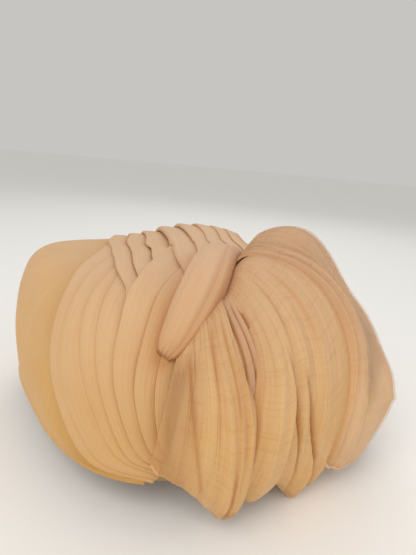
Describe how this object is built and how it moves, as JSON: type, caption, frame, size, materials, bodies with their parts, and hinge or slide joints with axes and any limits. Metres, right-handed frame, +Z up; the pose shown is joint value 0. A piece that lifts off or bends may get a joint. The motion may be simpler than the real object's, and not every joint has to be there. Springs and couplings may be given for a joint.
{
  "type": "turban",
  "caption": "Ready-wrapped turban: a rounded satin cap under folded gold-beige tulle pleats that cross on the crown, gathered into a puffed tulle pouf on one side",
  "frame": {"origin": "the middle of the head opening, in the plane of the rim", "axes": "+Z up through the crown, the wearer faces -Y, +X is the wearer's left, where the pouf is"},
  "size_m": [0.2197, 0.1898, 0.1249],
  "materials": {
    "satin": "satin, worn soft",
    "plain_tulle": "matt stretch tulle, laid flat",
    "pleated_tulle": "matt pleated tulle",
    "rolled_tulle": "matt pleated tulle, rolled",
    "pouf_tulle": "sheer pleated tulle"
  },
  "bodies": {
    "root": {"satin_cap": "satin", "front_panel": "plain_tulle", "back_panel": "plain_tulle", "front_pleat_1": "pleated_tulle", "front_pleat_2": "pleated_tulle", "front_pleat_3": "pleated_tulle", "front_pleat_4": "pleated_tulle", "front_pleat_5": "pleated_tulle", "front_pleat_6": "pleated_tulle", "tuck_pleat": "pleated_tulle", "crown_pleat_1": "pleated_tulle", "crown_pleat_2": "pleated_tulle", "crown_pleat_3": "pleated_tulle", "crown_pleat_4": "pleated_tulle", "crown_pleat_5": "pleated_tulle", "crown_pleat_6": "pleated_tulle", "crown_pleat_7": "pleated_tulle", "crown_pleat_8": "pleated_tulle", "rolled_pleat": "rolled_tulle", "pouf_front": "pouf_tulle", "pouf_middle": "pouf_tulle", "pouf_veil": "pouf_tulle"}
  },
  "joints": []
}
